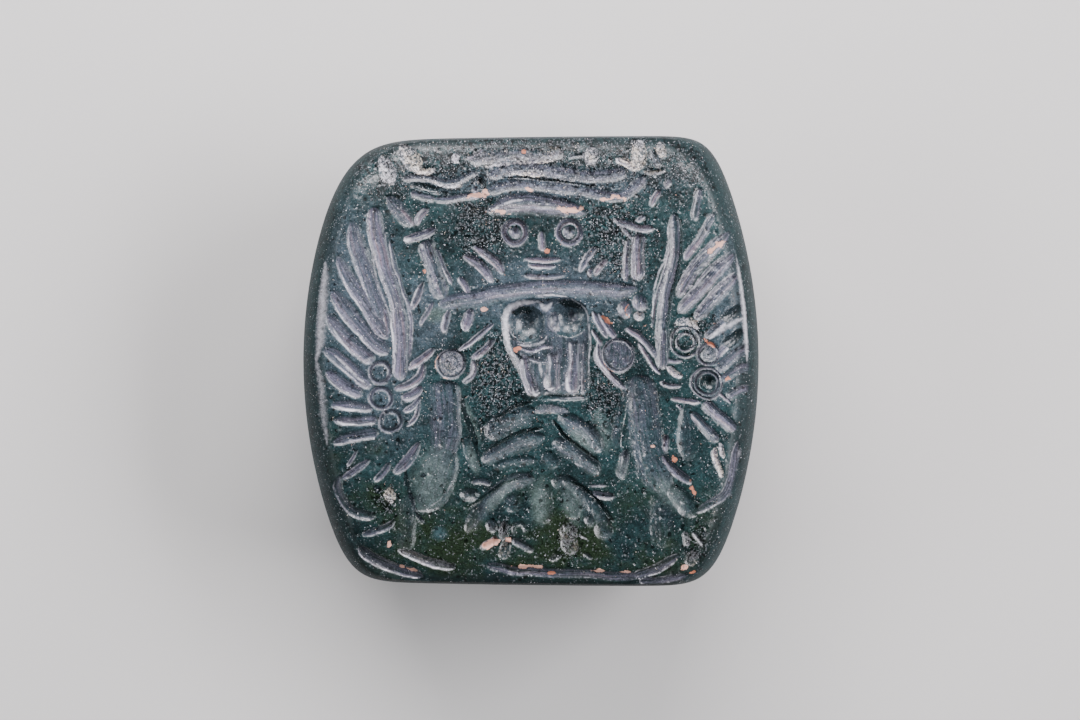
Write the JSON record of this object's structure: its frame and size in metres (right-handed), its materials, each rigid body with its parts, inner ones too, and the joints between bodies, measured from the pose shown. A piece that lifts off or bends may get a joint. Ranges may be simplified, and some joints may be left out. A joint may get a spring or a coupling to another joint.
{
  "type": "seal bead",
  "caption": "Cushion-shaped stone seal bead, drilled end to end for a string, with a goddess and two rearing griffins sunk into its domed face.",
  "frame": {"origin": "middle of the small flat spot on the back that the bead lies on", "axes": "+X to the right across the carved scene, +Y up the scene and along the string hole, +Z out of the carved face"},
  "size_m": [0.0228, 0.0224, 0.0084],
  "materials": {
    "dark_green_jasper": "polished dark green stone, with matt grey cuts and pale deposits"
  },
  "bodies": {
    "root": {"seal_bead": "dark_green_jasper"}
  },
  "joints": []
}
